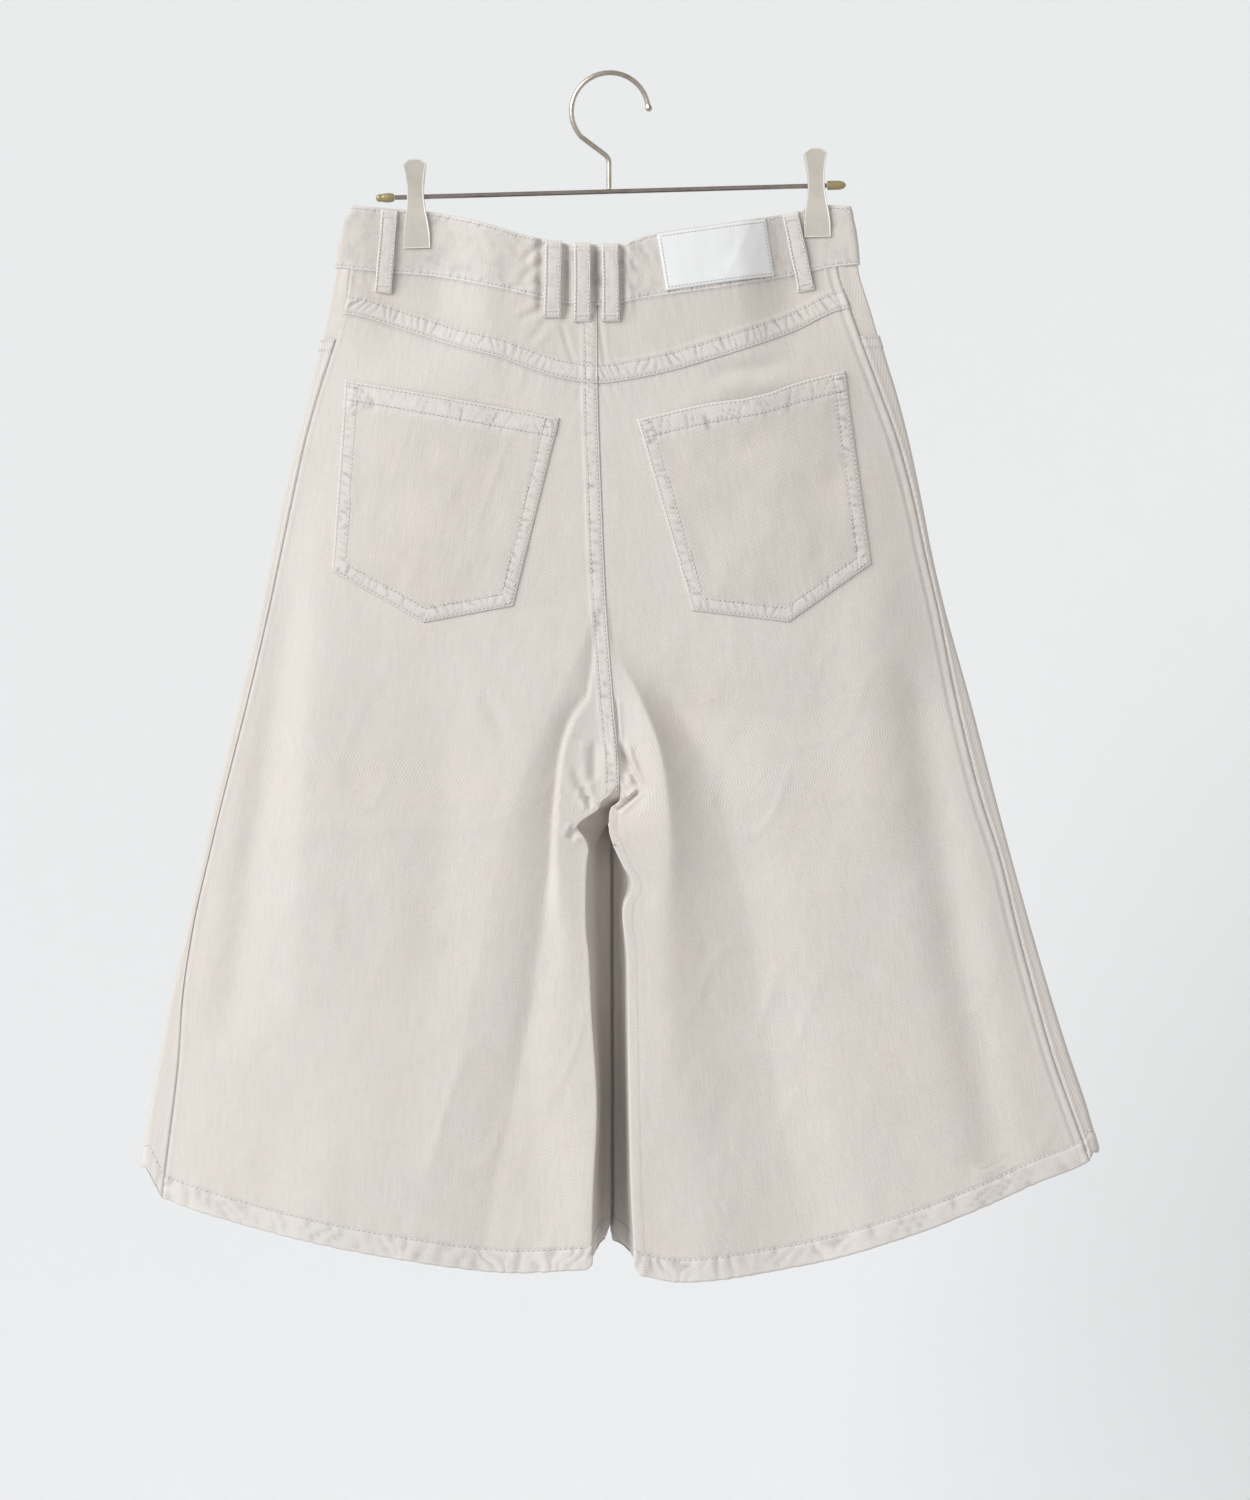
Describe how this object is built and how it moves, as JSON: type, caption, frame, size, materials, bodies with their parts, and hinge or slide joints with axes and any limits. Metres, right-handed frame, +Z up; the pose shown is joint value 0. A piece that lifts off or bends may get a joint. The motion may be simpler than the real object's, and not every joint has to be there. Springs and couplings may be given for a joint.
{
  "type": "denim shorts on a clip hanger",
  "caption": "Wide-leg denim shorts seen from behind, hung by the waistband from a wire hanger with a hook, a rod and sprung clips, with patch pockets, belt loops and a plain patch.",
  "frame": {"origin": "inner top of the hanger's hook, where the hanger hangs on its rail", "axes": "-Y towards the viewer, out of the back of the shorts, +X to the picture's right, +Z up along the stem"},
  "size_m": [0.6527, 0.0807, 0.8203],
  "materials": {
    "denim": "washed off-white twill",
    "denim_light": "washed off-white twill",
    "patch": "smooth white",
    "tape": "woven tape",
    "steel": "brushed",
    "rubber": "semi-gloss"
  },
  "bodies": {
    "root": {"back_left": "denim", "back_right": "denim", "front_left": "denim", "front_right": "denim", "fly_shield": "denim", "back_yoke_left": "denim_light", "back_yoke_right": "denim_light", "front_facing_left": "denim_light", "front_facing_right": "denim_light", "waistband": "denim_light", "back_pocket_left": "denim_light", "back_pocket_right": "denim_light", "belt_loop_back_left": "denim_light", "belt_loop_centre_left": "denim_light", "belt_loop_centre": "denim_light", "belt_loop_centre_right": "denim_light", "belt_loop_back_right": "denim_light", "belt_loop_front_left": "denim_light", "belt_loop_front_right": "denim_light", "waist_patch": "patch", "fly_zip": "tape", "waist_button": "steel", "hanger_hook": "steel", "hanger_rod": "steel", "clip_left_jaw_back": "steel", "clip_left_jaw_front": "steel", "clip_right_jaw_back": "steel", "clip_right_jaw_front": "steel", "hanger_cap_left": "rubber", "hanger_cap_right": "rubber"}
  },
  "joints": []
}
